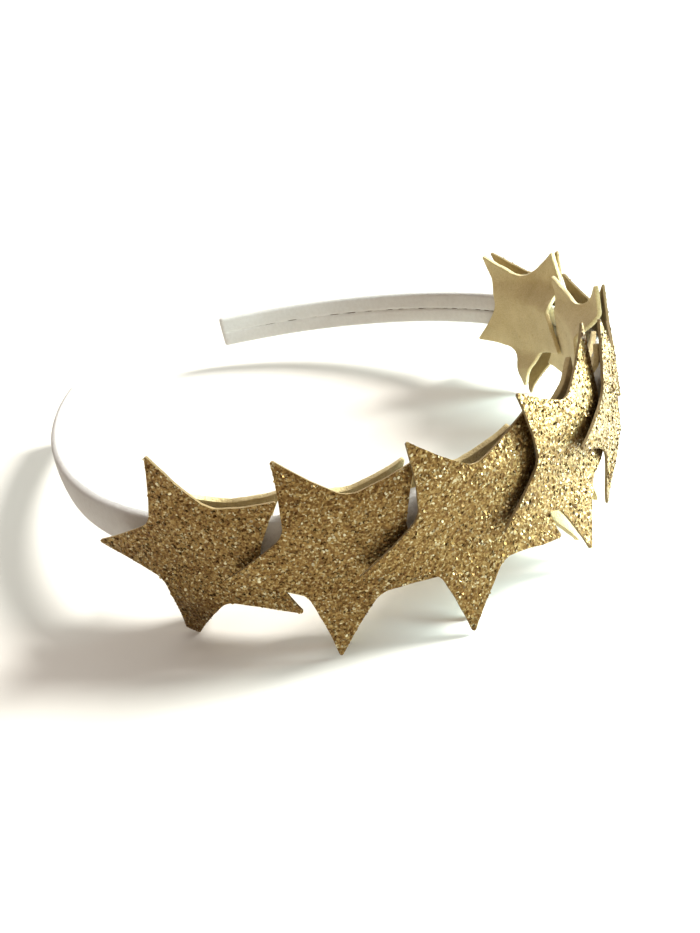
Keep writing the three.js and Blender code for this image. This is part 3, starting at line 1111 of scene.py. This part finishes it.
    def _fuzz(self, wardrobe: Wardrobe, rng: Random) -> Piece:
        """Fibres that stand off the felt's cut edge and faces: short three-sided hairs."""
        style = self.fuzz
        rim = self.cut.outline(self.trim, Layer.FELT, style.rim_step)
        chosen = rng.integers(0, len(rim), style.rim_count)
        out = outward(rim)[chosen]
        spots = self.scatter(rim, self.cut.tip_radius, style.face_count, style.margin, rng)
        root = np.concatenate([rim[chosen] - out * style.rim_root, spots])
        away = np.concatenate([out, np.zeros_like(spots)])
        count = len(root)
        half = self.cut.back_thickness / 2
        on_face = np.arange(count) >= style.rim_count
        side = np.where(rng.uniform(size=count) < style.inner_share, -1.0, 1.0)
        rim_lift = rng.uniform(-half, half, count) * style.rim_spread
        lift = np.where(on_face, side * (half - style.face_root), rim_lift)
        face_rise = side * rng.uniform(*style.face_rise, count)
        rise = np.where(on_face, face_rise, rng.normal(0.0, style.rim_rise, count))
        heading = unit(away + rng.normal(0.0, style.stray, (count, 2)))
        sideways = np.stack([-heading[:, 1], heading[:, 0]], axis=1)
        bend = rng.normal(0.0, style.bend, (count, 1)) * sideways
        face_length = rng.uniform(*style.face_length, count)
        length = np.where(on_face, face_length, rng.uniform(*style.rim_length, count))[:, None]
        stations = []
        for share in (0.0, 0.5, 1.0):
            flat = root + (heading * share + bend * share**2) * length
            hump = lift + rise * sin(pi * share * style.arch)
            stations.append(self.drape(flat, Layer.FELT, hump)[0])
        clear = np.min([station[:, 2] for station in stations], axis=0) > style.clearance * MM
        low, middle, top = (station[clear] for station in stations)
        count = len(low)
        spoke = spokes(unit(top - low), style.sides, rng)
        ring = spoke * (rng.uniform(*style.radius, count)[:, None, None] * MM)
        rings = [low[:, None] + ring, middle[:, None] + style.taper * ring, top[:, None]]
        sides = style.sides
        corners = 2 * sides + 1
        faces = []
        for base in range(0, corners * count, corners):
            faces.append(tuple(base + i for i in reversed(range(sides))))
            for i in range(sides):
                after = (i + 1) % sides
                faces.append((base + i, base + after, base + sides + after, base + sides + i))
                faces.append((base + sides + i, base + sides + after, base + 2 * sides))
        points = np.concatenate(rings, axis=1).reshape(-1, 3)
        piece = new_piece(f"star_{self.number}_fuzz", points, faces, [wardrobe.felt])
        bpy.ops.object.shade_smooth()
        return piece


@dataclass
class Studio:
    """A plain pale table, soft light from one side and the camera; places are in millimetres."""

    eye: Place = (-135.086, -144.711, 116.779)
    yaw: float = 0.77018
    pitch: float = 0.57651
    roll: float = -0.13645
    focal: float = 846.64
    axis_drop: float = 30.5
    clip: Span = (0.01, 50.0)
    table_size: float = 60.0
    table_height: float = -0.00015
    table_colour: Colour = (0.80, 0.775, 0.72)
    table_roughness: float = 0.6
    table_specular: float = 0.2
    dim_side: Colour = (0.170, 0.078, 0.028)
    bright_side: Colour = (1.0, 0.985, 0.95)
    backdrop: Colour = (0.96, 0.96, 0.95)
    bright_azimuth: float = -7.0
    bright_height: float = 0.28
    facing_span: Span = (-0.85, 0.9)
    window_colour: Colour = (0.74, 0.98, 1.0)
    window_power: float = 1.9
    window_size: float = 130.0
    window_place: Place = (175.0, -200.0, 80.0)
    sky_colour: Colour = (1.0, 0.99, 0.96)
    sky_strength: float = 4.7
    sky_spread: float = 15.0
    sky_place: Place = (415.0, -225.0, 385.0)

    def build(self) -> None:
        """Sets up the table, the light and the camera."""
        self._table()
        self._light()
        self._camera()

    def _table(self) -> None:
        """A wide pale table top."""
        bpy.ops.mesh.primitive_plane_add(size=self.table_size, location=(0.0, 0.0, self.table_height))
        table = bpy.context.object
        table.name = "table"
        values = {"Roughness": self.table_roughness, "Specular IOR Level": self.table_specular}
        material, _, shader = Finish("table_white", values).start()
        shader.inputs["Base Color"].default_value = (*self.table_colour, 1.0)
        table.data.materials.append(material)

    def _light(self) -> None:
        """Soft light all round, brighter at the right, with a low window and a wide sky beyond it."""
        world = bpy.data.worlds.new("studio")
        world.use_nodes = True
        board = Board(world.node_tree)
        seen = board.node("ShaderNodeTexCoord").outputs["Generated"]
        bright = radians(self.bright_azimuth)
        towards = (cos(bright), sin(bright), self.bright_height)
        facing = board.node("ShaderNodeVectorMath", {0: seen, 1: towards}, operation="DOT_PRODUCT")
        start, end = self.facing_span
        values = {"Value": facing.outputs["Value"], 1: start, 2: end, 3: 0.0, 4: 1.0}
        level = board.node("ShaderNodeMapRange", values, interpolation_type="SMOOTHSTEP")
        shade = board.ramp(level.outputs["Result"], ((0.0, self.dim_side), (1.0, self.bright_side)))
        direct = board.node("ShaderNodeLightPath").outputs["Is Camera Ray"]
        values = {"Factor": direct, "A": shade, "B": (*self.backdrop, 1.0)}
        mixed = board.node("ShaderNodeMix", values, data_type="RGBA")
        back = world.node_tree.nodes["Background"]
        board.tree.links.new(mixed.outputs["Result"], back.inputs["Color"])
        bpy.context.scene.world = world
        window = self._lamp("window_light", "AREA", self.window_place, self.window_power)
        window.color = self.window_colour
        window.shape = "DISK"
        window.size = self.window_size * MM
        sky = self._lamp("sky_light", "SUN", self.sky_place, self.sky_strength)
        sky.color = self.sky_colour
        sky.angle = radians(self.sky_spread)

    @staticmethod
    def _lamp(name: str, kind: str, place: Place, energy: float) -> bpy.types.Light:
        """Adds a lamp that shines on the middle of the table, and gives its light."""
        at = Vector(place) * MM
        bpy.ops.object.light_add(type=kind, location=at)
        lamp = bpy.context.object
        lamp.name = name
        lamp.data.energy = energy
        lamp.visible_camera = False
        lamp.rotation_mode = "QUATERNION"
        lamp.rotation_quaternion = at.to_track_quat("Z", "Y")
        return lamp.data

    def _camera(self) -> None:
        """The camera at the photograph's place and angle."""
        ahead = cos(self.pitch)
        forward = Vector((sin(self.yaw) * ahead, cos(self.yaw) * ahead, -sin(self.pitch)))
        level = Vector((cos(self.yaw), -sin(self.yaw), 0.0))
        upright = level.cross(forward)
        right = level * cos(self.roll) + upright * sin(self.roll)
        up = upright * cos(self.roll) - level * sin(self.roll)
        bpy.ops.object.camera_add()
        camera = bpy.context.object
        camera.name = "camera"
        turn = Matrix((right, up, -forward)).transposed().to_4x4()
        camera.matrix_world = Matrix.Translation(Vector(self.eye) * MM) @ turn
        camera.data.sensor_fit = "HORIZONTAL"
        camera.data.sensor_width = SENSOR_WIDTH
        camera.data.lens = self.focal / IMAGE_WIDTH * SENSOR_WIDTH
        camera.data.shift_y = self.axis_drop / IMAGE_WIDTH
        camera.data.clip_start, camera.data.clip_end = self.clip
        bpy.context.scene.camera = camera


def main() -> None:
    """Builds the headband piece by piece, then the studio."""
    logging.basicConfig(level=logging.INFO, format="%(message)s")
    bpy.context.scene.view_settings.view_transform = "Standard"
    wardrobe = Wardrobe()
    path = BandPath()
    pieces = SatinBand(path).build(wardrobe)
    for number, (place, trim) in enumerate(zip(STAR_PLACES, STAR_TRIMS), 1):
        pieces += Star(number, place, trim, path).build(wardrobe)
    for piece in pieces:
        LOG.info("%s: %d faces", piece.name, len(piece.data.polygons))
    Studio().build()


if __name__ == "__main__":
    main()
